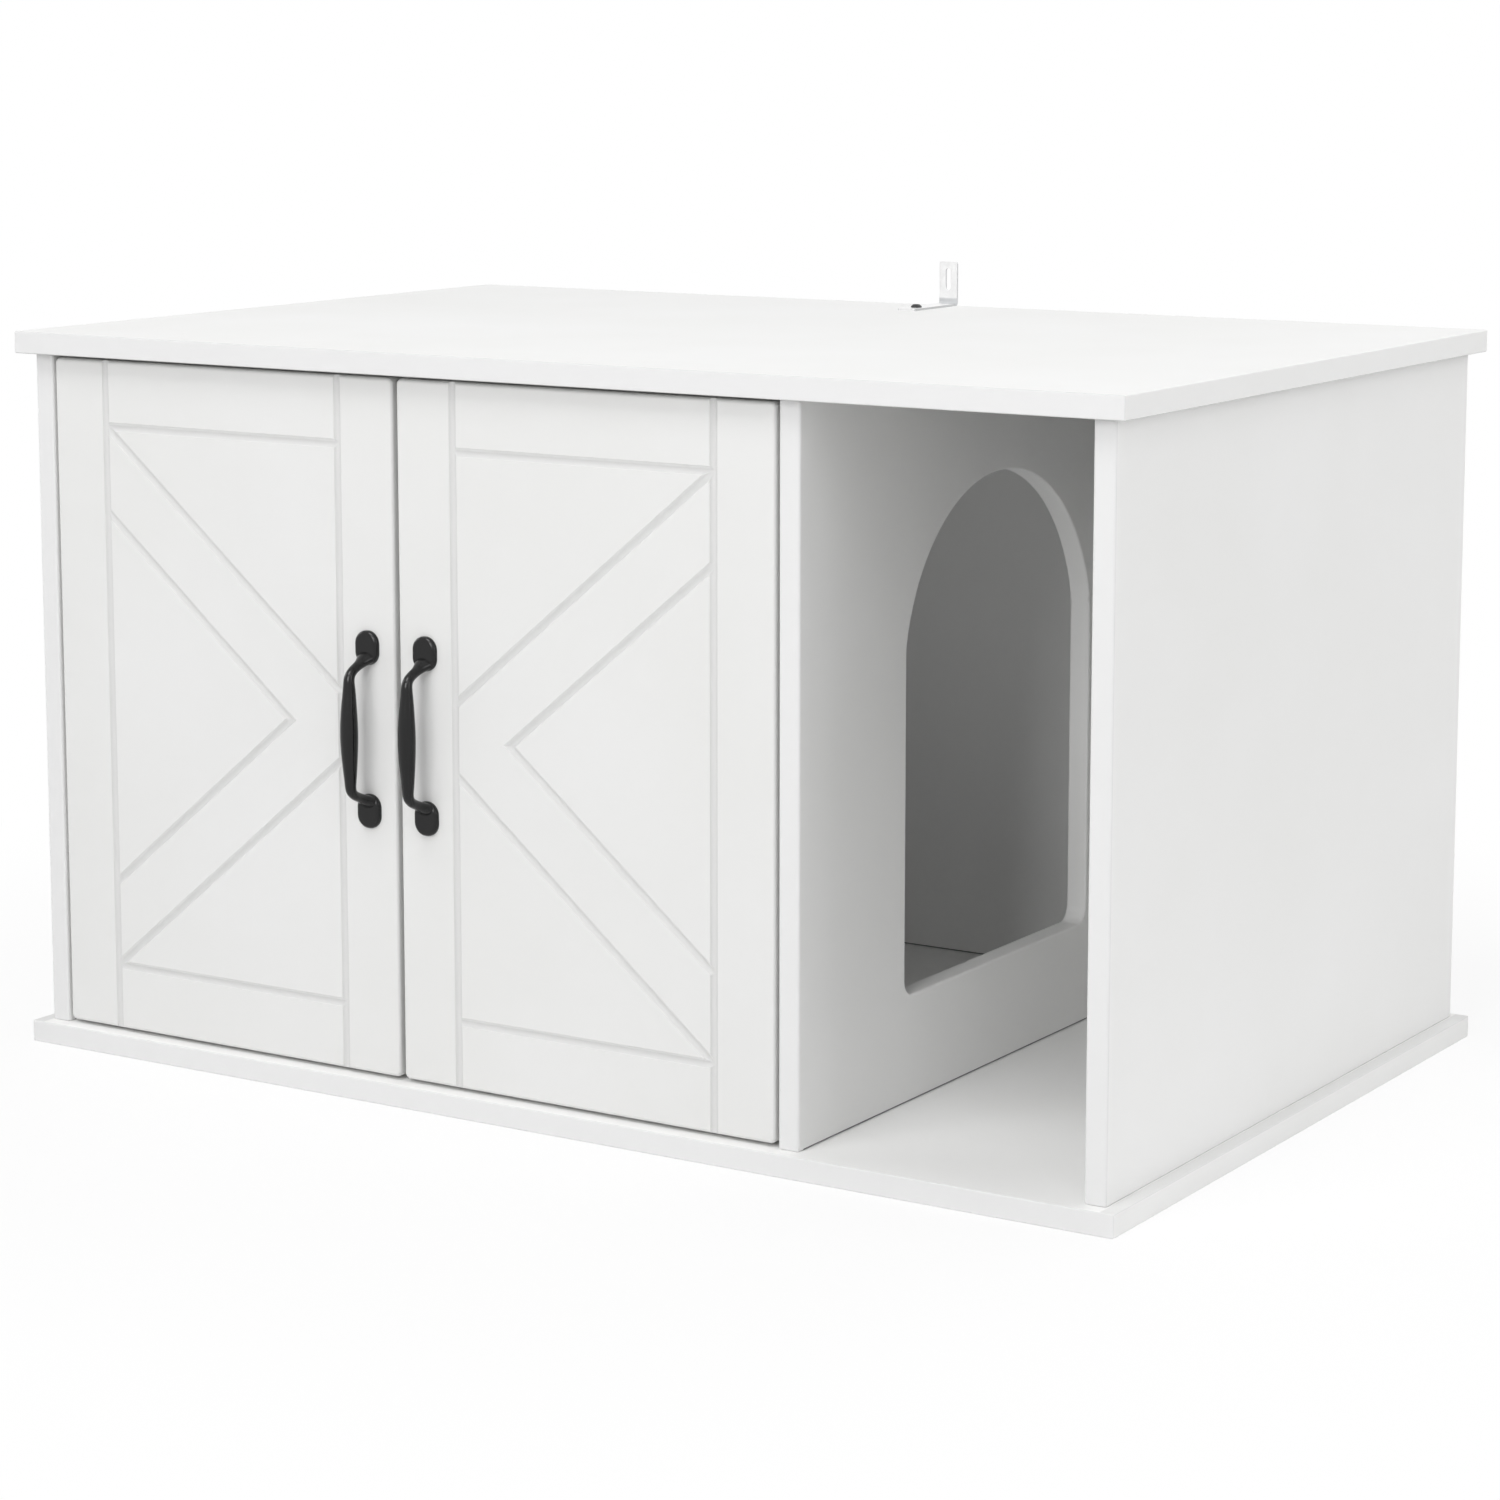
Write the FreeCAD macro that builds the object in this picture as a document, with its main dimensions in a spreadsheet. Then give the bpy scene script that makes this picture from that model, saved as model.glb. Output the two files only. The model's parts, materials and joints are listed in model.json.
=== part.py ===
"""Flat-pack cat house: a litter chamber behind two grooved doors, entered by an arch from an open bay.

Frame: origin on the floor under the middle of the base panel, +X along the front to the right, +Y to the back
and +Z up. Lengths are millimetres.
"""

import FreeCAD, Part
import math
import os
import re

import Sketcher

Vector = FreeCAD.Vector

# Driving sizes, in millimetres
SIZES = {
    # case
    "case_width": 850,
    "case_depth": 550,
    "case_height": 500,
    "board": 15,
    "overhang": 10,
    "bay_width": 199,
    "panel_edge_round": 1,
    "upright_edge_round": 2,
    "joint_round": 1.2,
    # arched entry in the divider
    "entry_width": 252,
    "entry_sill": 71,
    "entry_head": 68,
    "entry_rise": 102,
    "entry_shoulder_round": 60,
    "entry_corner_round": 11,
    "entry_edge_round": 1.5,
    # doors
    "door_thick": 15,
    "door_gap": 2.4,
    "meeting_gap": 3.4,
    "door_edge_round": 2.4,
    "door_corner_round": 4,
    "rail_width": 45,
    "brace_width": 45,
    "brace_meet": 23,
    "groove_radius": 3,
    "groove_depth": 2,
    "groove_lip": 0.6,
    # door handles
    "handle_length": 132,
    "handle_inset": 21.8,
    "handle_foot_width": 18.4,
    "handle_foot_length": 23,
    "handle_foot_thick": 3.6,
    "handle_foot_corner": 8.8,
    "handle_foot_edge": 2.5,
    "handle_screw_spacing": 96,
    "handle_reach": 21.5,
    "grip_radius": 6,
    "handle_screw_radius": 2,
    "handle_screw_bite": 4,
    "handle_screw_head_radius": 4,
    "handle_screw_head_height": 2.4,
    # door hinges
    "hinge_end_distance": 88,
    "cup_inset": 22.5,
    "cup_radius": 17.4,
    "cup_skin": 3.5,
    "cup_wall": 1,
    "flange_thick": 1.2,
    "flange_width": 20,
    "flange_length": 62,
    "flange_corner": 4,
    "cup_rim": 1.6,
    "cup_screw_spacing": 48,
    "cup_screw_offset": 6,
    "pin_radius": 1.5,
    "pin_end_gap": 0.2,
    "pin_clearance": 0.05,
    "eye_radius": 3.2,
    "eye_gap": 0.8,
    "arm_thick": 2.4,
    "arm_width": 12,
    "arm_kick": 12.5,
    "arm_back": 28.5,
    "arm_length": 50,
    "plate_height": 5.8,
    "wing_thick": 2,
    "wing_width": 16,
    "wing_length": 52,
    "wing_corner": 4,
    "boss_length": 40,
    "boss_width": 14,
    "plate_screw_spacing": 32,
    "clamp_screw_radius": 2,
    "clamp_screw_head_radius": 3.6,
    "clamp_screw_head_height": 2,
    "clamp_screw_bite": 4,
    # small wood screws of the hinges and the catch
    "small_screw_radius": 1.6,
    "small_screw_length": 11,
    "small_screw_head_radius": 3.4,
    "small_screw_head_height": 1.8,
    # double magnetic catch over the meeting doors
    "catch_wall": 3,
    "catch_ear_width": 12,
    "catch_ear_thick": 3,
    "magnet_width": 14,
    "magnet_height": 8,
    "magnet_depth": 10,
    "magnet_spacing": 28,
    "magnet_drop": 9,
    "catch_gap": 0.3,
    "strike_width": 20,
    "strike_rise": 6,
    "strike_drop": 17,
    "strike_screw_drop": 12,
    "strike_thick": 1,
    "strike_corner": 2,
    # wall bracket
    "bracket_width": 15,
    "bracket_thick": 1.6,
    "bracket_bend": 2.6,
    "bracket_rise": 32.5,
    "bracket_run": 64,
    "bracket_end_round": 1.5,
    "bracket_slot_width": 4.2,
    "bracket_slot_length": 16.4,
    "bracket_slot_height": 19.5,
    "bracket_screw_setback": 49,
    "bracket_screw_radius": 1.9,
    "bracket_screw_length": 12,
    "bracket_screw_head_radius": 4,
    "bracket_screw_head_height": 2.2,
    # flat-pack fixings
    "fixing_inset": 60,
    "fixing_pitch": 32,
    "fixing_clearance": 0.1,
    "end_clearance": 0.3,
    "dowel_radius": 4,
    "dowel_length": 30,
    "dowel_skin": 5,
    "dowel_chamfer": 0.8,
    "cam_radius": 7.4,
    "cam_skin": 2.6,
    "cam_setback": 24,
    "cam_slot_length": 9,
    "cam_slot_width": 2,
    "cam_slot_depth": 2.5,
    "cam_cover_radius": 9,
    "cam_cover_thick": 1.2,
    "cam_cover_edge": 0.5,
    "bolt_thread_radius": 2.9,
    "bolt_skin": 4,
    "bolt_shank_radius": 2.2,
    "bolt_head_radius": 3.3,
    "bolt_head_length": 4,
    "case_screw_length": 49,
    "case_screw_recess": 0.5,
    "case_screw_head_radius": 4.8,
    "case_screw_head_length": 3.5,
    "case_screw_shank_radius": 3.4,
    "case_screw_thread_radius": 2.4,
    "case_screw_socket": 4,
    "case_screw_socket_depth": 3,
    "back_fixing_spacing": 300,
    "back_fixing_height_spacing": 240,
    # how far a cutting tool stands out of the face it enters
    "overrun": 1,
}

# Places and sizes that follow from the driving sizes
PLACES = {
    "side_outer": "case_width / 2 - overhang",
    "side_inner": "side_outer - board",
    "front": "overhang - case_depth / 2",
    "back": "case_depth / 2 - overhang",
    "back_inner": "back - board",
    "floor_top": "board",
    "roof": "case_height - board",
    "upright_height": "roof - floor_top",
    "middle_height": "(roof + floor_top) / 2",
    "divider_right": "side_inner - bay_width",
    "divider_left": "divider_right - board",
    "divider_depth": "back_inner - front",
    "left_middle": "-(side_inner + side_outer) / 2",
    "right_middle": "(side_inner + side_outer) / 2",
    "divider_middle": "(divider_left + divider_right) / 2",
    "back_middle": "(back_inner + back) / 2",
    "meeting": "(divider_left - side_inner) / 2",
    "door_edge": "door_gap - side_inner",
    "door_width": "meeting - meeting_gap / 2 - door_edge",
    "door_height": "upright_height - 2 * door_gap",
    "door_foot": "floor_top + door_gap",
    "door_back": "front + door_thick",
    "field_width": "door_width - 2 * rail_width",
    "field_half_height": "door_height / 2 - rail_width",
    "brace_slope": "(field_half_height - brace_meet) / field_width",
    "brace_drop": "brace_width * sqrt(1 + brace_slope ^ 2)",
    "cove_level": "groove_radius - groove_depth",
    "lip_across": "sqrt((groove_radius + groove_lip) ^ 2 - (cove_level + groove_lip) ^ 2)",
    "lip_ratio": "groove_radius / (groove_radius + groove_lip)",
    "cove_across": "lip_across * lip_ratio",
    "cove_deep": "(cove_level + groove_lip) * lip_ratio - cove_level",
    "entry_side_height": "upright_height - entry_sill - entry_rise - entry_head",
    "entry_radius": "(entry_width ^ 2 / 4 + entry_rise ^ 2) / (2 * entry_rise)",
    "entry_centre": "entry_sill + entry_side_height + entry_rise - entry_radius",
    "shoulder_in": "entry_width / 2 - entry_shoulder_round",
    "shoulder_up": "sqrt((entry_radius - entry_shoulder_round) ^ 2 - shoulder_in ^ 2)",
    "shoulder_ratio": "entry_radius / (entry_radius - entry_shoulder_round)",
    "side_top": "entry_centre + shoulder_up",
    "arc_foot": "entry_centre + shoulder_up * shoulder_ratio",
    "arc_half": "shoulder_in * shoulder_ratio",
    "handle_x": "door_width - handle_inset",
    "handle_screw_half": "handle_screw_spacing / 2",
    "hinge_x": "door_edge + cup_inset",
    "cup_depth": "door_thick - cup_skin",
    "pin_depth": "cup_depth - cup_wall - eye_gap - eye_radius",
    "pin_half": "cup_radius - pin_end_gap",
    "hinge_y": "door_back - pin_depth",
    "hinge_z": "door_foot + door_height - hinge_end_distance",
    "low_hinge_z": "door_foot + hinge_end_distance",
    "arm_x": "plate_height + arm_thick / 2 - door_gap - cup_inset",
    "plate_y": "hinge_y + arm_back + arm_length / 2",
    "cup_screw_half": "cup_screw_spacing / 2",
    "plate_screw_half": "plate_screw_spacing / 2",
    "magnet_half": "magnet_spacing / 2",
    "magnet_z": "roof - magnet_drop",
    "catch_width": "magnet_spacing + magnet_width + 2 * catch_wall",
    "catch_depth": "magnet_depth + 2 * catch_wall",
    "catch_height": "magnet_drop + magnet_height / 2 + catch_wall",
    "catch_front": "door_back + strike_thick + catch_gap",
    "catch_screw_half": "(catch_width + catch_ear_width) / 2",
    "catch_middle": "catch_front + catch_depth / 2",
    "bracket_screw_y": "case_depth / 2 - bracket_screw_setback",
    "bracket_slot_half": "(bracket_slot_length - bracket_slot_width) / 2",
    "cam_z": "roof - cam_setback",
    "cam_height": "board - cam_skin",
    "bolt_thread_length": "board - bolt_skin",
    "dowel_face_depth": "board - dowel_skin",
    "dowel_end_depth": "dowel_length - dowel_face_depth",
    "case_screw_shank_end": "board - case_screw_recess - end_clearance",
    "socket_side": "case_screw_socket / sqrt(3)",
    "case_screw_bite": "case_screw_length + case_screw_recess - board",
    "fixing_front": "front + fixing_inset",
    "fixing_back": "back - fixing_inset",
    "dowel_front": "fixing_front + fixing_pitch",
    "dowel_back": "fixing_back - fixing_pitch",
    "back_fixing_low": "middle_height - back_fixing_height_spacing / 2",
    "back_fixing_high": "middle_height + back_fixing_height_spacing / 2",
}

# Crown of a pan head: the flat of its top and the height of its rim, as shares of its radius and height
HEAD_FLAT_SHARE = 0.6
HEAD_RIM_SHARE = 0.4

# Cross recess of a pan head: its reach and half width as shares of the head's radius, its depth of the height
RECESS_REACH_SHARE = 0.52
RECESS_HALF_SHARE = 0.12
RECESS_DEPTH_SHARE = 0.55

# Upper half of the handle's bow: height, reach, half width and half thickness as shares of the half span,
# the reach and the grip's radius, and the turn of the section about X in degrees
BOW_SHARES = (
    (1.000, 0.00, 1.16, 0.78, 90),
    (0.990, 0.16, 1.08, 0.72, 98),
    (0.960, 0.31, 0.82, 0.61, 107),
    (0.920, 0.50, 0.60, 0.53, 113),
    (0.865, 0.76, 0.55, 0.53, 124),
    (0.800, 0.92, 0.58, 0.57, 151),
    (0.660, 0.97, 0.67, 0.66, 175),
    (0.350, 0.99, 0.88, 0.87, 179),
    (0.000, 1.00, 1.00, 0.98, 180),
)

UPRIGHTS = ("left_middle", "right_middle", "divider_middle")
FIXING_ROWS = ("fixing_front", "fixing_back")
DOWEL_ROWS = ("dowel_front", "dowel_back")
BACK_COLUMNS = ("-back_fixing_spacing", "0", "back_fixing_spacing")
BACK_ROWS = ("back_fixing_low", "back_fixing_high")
HINGE_HEIGHTS = ("hinge_z", "low_hinge_z")
HANDLE_SPOTS = [("door_edge + handle_x", f"middle_height {sign} handle_screw_half") for sign in "+-"]
STRIKE_SPOT = ("meeting - magnet_half", "magnet_z - strike_screw_drop")

# Radius and depth of the bores that case screws are driven into
SCREW_BITE = ("case_screw_thread_radius + fixing_clearance", "case_screw_bite + end_clearance")

# Origin plane square to each axis, and the sign of that plane's normal along the axis
PLANES = {"X": ("YZ_Plane", 1), "Y": ("XZ_Plane", -1), "Z": ("XY_Plane", 1)}
AXES = {"X": Vector(1, 0, 0), "Y": Vector(0, 1, 0), "Z": Vector(0, 0, 1)}

# Turns that point a fastener's tip, made along +Z, another way: the axis of the turn and its degrees
UP_DEGREES = ("X", 0)
DOWN_DEGREES = ("X", 180)
FORWARD_DEGREES = ("X", 90)
LEFT_DEGREES = ("Y", -90)
RIGHT_DEGREES = ("Y", 90)
FULL_DEGREES = 360

# Degrees that give a rotation its axis until an expression sets its angle
FIRST_DEGREES = 1

# Two places closer than this are one place
SAME_PLACE = 1e-6

doc = FreeCAD.newDocument("cat_house")
sheet = doc.addObject("Spreadsheet::Sheet", "Sizes")
places = doc.addObject("App::VarSet", "Places")
origins = {}
nodes = {}
cuts = []


def full(text):
    """Write an expression with each named size or place on its own object."""

    def owned(match):
        word = match.group(0)
        if word in SIZES:
            return f"Sizes.{word}"
        if word in PLACES:
            return f"Places.{word}"
        return word

    return re.sub(r"[a-z_]\w*", owned, text)


def value(text):
    """Work out an expression as a plain number."""
    result = places.evalExpression(full(text))
    return float(getattr(result, "Value", result))


def bind(item, name, text):
    item.setExpression(name, full(text))


def fill_sheet():
    for row, (alias, number) in enumerate(SIZES.items(), start=1):
        sheet.set(f"A{row}", alias)
        sheet.set(f"B{row}", str(number))
        sheet.setAlias(f"B{row}", alias)
    doc.recompute()
    for name in PLACES:
        places.addProperty("App::PropertyFloat", name, "Places", "")
    for name, text in PLACES.items():
        bind(places, name, text)
    doc.recompute()


def place(item, x, y, z, turn=UP_DEGREES):
    """Put an object at a point given by three expressions, turned about one axis."""
    axis, degrees = turn
    item.Placement = FreeCAD.Placement(Vector(), FreeCAD.Rotation(AXES[axis], degrees))
    for letter, text in zip("xyz", (x, y, z)):
        bind(item, f"Placement.Base.{letter}", text)


def new_body(name, x="0", y="0", z="0"):
    body = doc.addObject("PartDesign::Body", name)
    place(body, x, y, z)
    origins[body.Name] = dict(zip("XYZ", (x, y, z)))
    return body


def keep(label, item):
    """Make an object the sub-part of this name."""
    item.Label = label
    nodes[label] = item
    return item


def origin_item(body, role):
    return next(item for item in body.Origin.OriginFeatures if item.Role == role)


def sketch_on(body, axis, level="0"):
    """Start a sketch square to an axis of its body. Its axes are the other two, in X, Y, Z order."""
    role, sign = PLANES[axis]
    sketch = body.newObject("Sketcher::SketchObject", f"{body.Name}_sketch")
    sketch.AttachmentSupport = [(origin_item(body, role), "")]
    sketch.MapMode = "FlatFace"
    bind(sketch, "AttachmentOffset.Base.z", f"{sign} * ({level})")
    return sketch


def fix(sketch, kind, ends, text):
    """Add a dimension that follows an expression."""
    index = sketch.addConstraint(Sketcher.Constraint(kind, *ends, value(text)))
    bind(sketch, f"Constraints[{index}]", text)


def fix_point(sketch, geometry, end, across, up):
    fix(sketch, "DistanceX", (-1, 1, geometry, end), across)
    fix(sketch, "DistanceY", (-1, 1, geometry, end), up)


def arc_between(start, finish, radius, turn):
    """The shorter arc between two points, with its centre to the left (turn 1) or right (turn -1)."""
    chord = finish - start
    half = chord.Length / 2
    side = Vector(-chord.y, chord.x, 0).normalize() * turn
    centre = start + chord / 2 + side * math.sqrt(radius**2 - half**2)
    first, last = (start, finish) if turn > 0 else (finish, start)
    angles = [math.atan2(point.y - centre.y, point.x - centre.x) for point in (first, last)]
    return Part.ArcOfCircle(Part.Circle(centre, AXES["Z"], radius), *angles)


def outline(sketch, corners):
    """Close a loop of corners (across, up). A corner with (radius, turn) added starts an arc, not a line."""
    points = [Vector(value(corner[0]), value(corner[1]), 0) for corner in corners]
    sides = []
    for corner, start, finish in zip(corners, points, points[1:] + points[:1]):
        if len(corner) == 2:
            side = Part.LineSegment(start, finish)
            ends = (1, 2)
        else:
            side = arc_between(start, finish, value(corner[2]), corner[3])
            ends = (1, 2) if corner[3] > 0 else (2, 1)
        sides.append((sketch.addGeometry(side, False), ends))
    for (index, ends), (following, next_ends) in zip(sides, sides[1:] + sides[:1]):
        sketch.addConstraint(Sketcher.Constraint("Coincident", index, ends[1], following, next_ends[0]))
    for corner, (index, ends) in zip(corners, sides):
        fix_point(sketch, index, ends[0], corner[0], corner[1])
        if len(corner) > 2:
            fix(sketch, "Radius", (index,), corner[2])


def rectangle(sketch, left, low, right, high):
    outline(sketch, [(left, low), (right, low), (right, high), (left, high)])


def rounded_rectangle(sketch, left, low, right, high, radius):
    outline(
        sketch,
        [
            (f"{left} + {radius}", low),
            (f"{right} - {radius}", low, radius, 1),
            (right, f"{low} + {radius}"),
            (right, f"{high} - {radius}", radius, 1),
            (f"{right} - {radius}", high),
            (f"{left} + {radius}", high, radius, 1),
            (left, f"{high} - {radius}"),
            (left, f"{low} + {radius}", radius, 1),
        ],
    )


def circle(sketch, across, up, radius):
    centre = Vector(value(across), value(up), 0)
    index = sketch.addGeometry(Part.Circle(centre, AXES["Z"], value(radius)), False)
    fix_point(sketch, index, 3, across, up)
    fix(sketch, "Radius", (index,), radius)


def oval(sketch, wide, thick):
    """An ellipse about the sketch's origin, given by its half width and its lesser half thickness."""
    index = sketch.addGeometry(Part.Ellipse(Vector(), value(wide), value(thick)), False)
    fix_point(sketch, index, 3, "0", "0")
    sketch.exposeInternalGeometry(index)
    width_line, thickness_line = index + 1, index + 2
    sketch.addConstraint(Sketcher.Constraint("Horizontal", width_line))
    fix(sketch, "Distance", (width_line,), f"2 * {wide}")
    fix(sketch, "Distance", (thickness_line,), f"2 * {thick}")


def pad(body, sketch, length, side="One side", back=False):
    feature = body.newObject("PartDesign::Pad", f"{body.Name}_pad")
    feature.Profile = sketch
    feature.SideType = side
    feature.Reversed = back
    bind(feature, "Length", length)
    return feature


def pocket(body, sketch, depth=None, side="One side", back=False):
    """Cut a sketch into its body: to a depth, or right through."""
    feature = body.newObject("PartDesign::Pocket", f"{body.Name}_pocket")
    feature.Profile = sketch
    feature.SideType = side
    feature.Reversed = back
    if depth is None:
        feature.Type = "ThroughAll"
    else:
        bind(feature, "Length", depth)
    cuts.append(feature)
    return feature


def drill(body, face, level, centres, radius, depth=None):
    """Drill round holes into a face, such as +Z. Level and centres are in the part's frame."""
    sign, axis = face
    origin = origins[body.Name]
    across, up = [letter for letter in "XYZ" if letter != axis]
    sketch = sketch_on(body, axis, f"{level} - ({origin[axis]})")
    for first, second in centres:
        circle(sketch, f"{first} - ({origin[across]})", f"{second} - ({origin[up]})", radius)
    outward = 1 if sign == "+" else -1
    return pocket(body, sketch, depth, back=outward != PLANES[axis][1])


def round_edges(body, radius, chosen):
    """Round the edges of the body so far for which chosen(edge) is true."""
    doc.recompute()
    base = body.Tip
    names = [f"Edge{number}" for number, edge in enumerate(base.Shape.Edges, start=1) if chosen(edge)]
    feature = body.newObject("PartDesign::Fillet", f"{body.Name}_round")
    feature.Base = (base, names)
    bind(feature, "Radius", radius)
    return feature


def lies_at(letter, text):
    """A test for edges that lie wholly at one place along a body axis."""
    level = value(text)
    low, high = f"{letter}Min", f"{letter}Max"

    def test(edge):
        box = edge.BoundBox
        return max(abs(getattr(box, low) - level), abs(getattr(box, high) - level)) < SAME_PLACE

    return test


def turned(name, profile):
    """A body turned about its Z axis from corners (radius, height)."""
    body = new_body(name)
    sketch = sketch_on(body, "Y")
    outline(sketch, profile)
    feature = body.newObject("PartDesign::Revolution", f"{name}_turn")
    feature.Profile = sketch
    feature.ReferenceAxis = (origin_item(body, "Z_Axis"), [""])
    return body


def cross(sketch, reach, half):
    """The outline of a plus sign about the sketch's origin."""
    quarter = [(half, reach), (half, half), (reach, half)]
    right = quarter + [(across, f"-({up})") for across, up in reversed(quarter)]
    left = [(f"-({across})", up) for across, up in reversed(right)]
    outline(sketch, right + left)


def screw(name, head_radius, head_height, radius, length):
    """A pan-head screw with a cross recess, the seat of its head at the origin and its tip along +Z."""
    flat = f"{HEAD_FLAT_SHARE} * {head_radius}"
    rim = f"-{HEAD_RIM_SHARE} * {head_height}"
    top = f"-{head_height}"
    profile = [
        ("0", top),
        (flat, top),
        (head_radius, rim),
        (head_radius, "0"),
        (radius, "0"),
        (radius, length),
        ("0", length),
    ]
    body = turned(name, profile)
    sketch = sketch_on(body, "Z", top)
    cross(sketch, f"{RECESS_REACH_SHARE} * {head_radius}", f"{RECESS_HALF_SHARE} * {head_radius}")
    pocket(body, sketch, f"{RECESS_DEPTH_SHARE} * {head_height}", back=True)
    return body


def group(label, master, spots):
    """One node of equal pieces: a copy of the master at each spot (x, y, z, turn)."""
    links = []
    for x, y, z, turn in spots:
        link = doc.addObject("App::Link", f"{label}_link")
        link.LinkedObject = master
        place(link, x, y, z, turn)
        links.append(link)
    compound = doc.addObject("Part::Compound", label)
    compound.Links = links
    return keep(label, compound)


def twin(name, source, axis, level):
    """The mirror image of an object across a plane of the part."""
    image = doc.addObject("Part::Mirroring", name)
    image.Source = source
    image.Normal = AXES[axis]
    bind(image, f"Base.{axis.lower()}", level)
    return image


def mirrored(label, source, axis, level):
    """A sub-part that is the mirror image of another."""
    return keep(label, twin(label, source, axis, level))


def make_slab(label, z):
    """The top or the base panel."""
    body = keep(label, new_body(label, "-case_width / 2", "-case_depth / 2", z))
    sketch = sketch_on(body, "Z")
    rectangle(sketch, "0", "0", "case_width", "case_depth")
    pad(body, sketch, "board")
    round_edges(body, "panel_edge_round", lambda edge: True)
    return body


def start_upright(label, x, depth):
    """A standing panel's body, with the sketch of its outline."""
    body = keep(label, new_body(label, x, "front", "floor_top"))
    sketch = sketch_on(body, "X")
    rectangle(sketch, "0", "0", depth, "upright_height")
    return body, sketch


def finish_upright(body, sketch):
    """Raise a standing panel from its sketch and soften its two front edges."""
    pad(body, sketch, "board")
    at_front = lies_at("Y", "0")

    def on_front(edge):
        return at_front(edge) and edge.BoundBox.ZLength > SAME_PLACE

    round_edges(body, "upright_edge_round", on_front)
    at_foot = lies_at("Z", "0")
    at_head = lies_at("Z", "upright_height")
    round_edges(body, "joint_round", lambda edge: at_foot(edge) or at_head(edge))
    return body


def make_divider():
    """The divider with its arched entry, softened on both faces."""
    body, sketch = start_upright("divider_panel", "divider_left", "divider_depth")
    near = "(divider_depth - entry_width) / 2"
    far = "(divider_depth + entry_width) / 2"
    middle = "divider_depth / 2"
    corner = "entry_corner_round"
    shoulder = "entry_shoulder_round"
    outline(
        sketch,
        [
            (f"{near} + {corner}", "entry_sill"),
            (f"{far} - {corner}", "entry_sill", corner, 1),
            (far, f"entry_sill + {corner}"),
            (far, "side_top", shoulder, 1),
            (f"{middle} + arc_half", "arc_foot", "entry_radius", 1),
            (f"{middle} - arc_half", "arc_foot", shoulder, 1),
            (near, "side_top"),
            (near, f"entry_sill + {corner}", corner, 1),
        ],
    )
    finish_upright(body, sketch)
    on_left = lies_at("X", "0")
    on_right = lies_at("X", "board")
    low = value(near) - SAME_PLACE
    high = value(far) + SAME_PLACE

    def on_entry(edge):
        box = edge.BoundBox
        return (on_left(edge) or on_right(edge)) and box.YMin > low and box.YMax < high

    round_edges(body, "entry_edge_round", on_entry)
    return body


def make_back():
    body = keep("back_panel", new_body("back_panel", "-side_inner", "back_inner", "floor_top"))
    sketch = sketch_on(body, "Y")
    rectangle(sketch, "0", "0", "2 * side_inner", "upright_height")
    pad(body, sketch, "board", back=True)
    round_edges(body, "joint_round", lambda edge: True)
    return body


def drill_upright(body, middle):
    """Bores in the ends of a standing panel for its bolts, dowels and base screws."""
    fixings = [(middle, row) for row in FIXING_ROWS]
    dowels = [(middle, row) for row in DOWEL_ROWS]
    drill(body, "+Z", "roof", fixings, "bolt_head_radius + fixing_clearance", "cam_setback")
    for face, level in (("+Z", "roof"), ("-Z", "floor_top")):
        drill(body, face, level, dowels, "dowel_radius + fixing_clearance", "dowel_end_depth + end_clearance")
    drill(body, "-Z", "floor_top", fixings, *SCREW_BITE)


def drill_cams(body, face, level):
    spots = [(row, "cam_z") for row in FIXING_ROWS]
    drill(body, face, level, spots, "cam_radius + fixing_clearance", "cam_height + end_clearance")


def drill_hinge_plates(body, face, level):
    spots = [
        ("plate_y", f"{height} {sign} plate_screw_half")
        for height in HINGE_HEIGHTS
        for sign in "+-"
    ]
    depth = "small_screw_length - wing_thick + end_clearance"
    drill(body, face, level, spots, "small_screw_radius + fixing_clearance", depth)


def drill_screw_heads(body, face, level, spots):
    """Counterbored holes for case screws, right through a panel."""
    radius = "case_screw_head_radius + fixing_clearance"
    drill(body, face, level, spots, radius, "case_screw_recess + case_screw_head_length")
    drill(body, face, level, spots, "case_screw_shank_radius + fixing_clearance")


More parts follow.
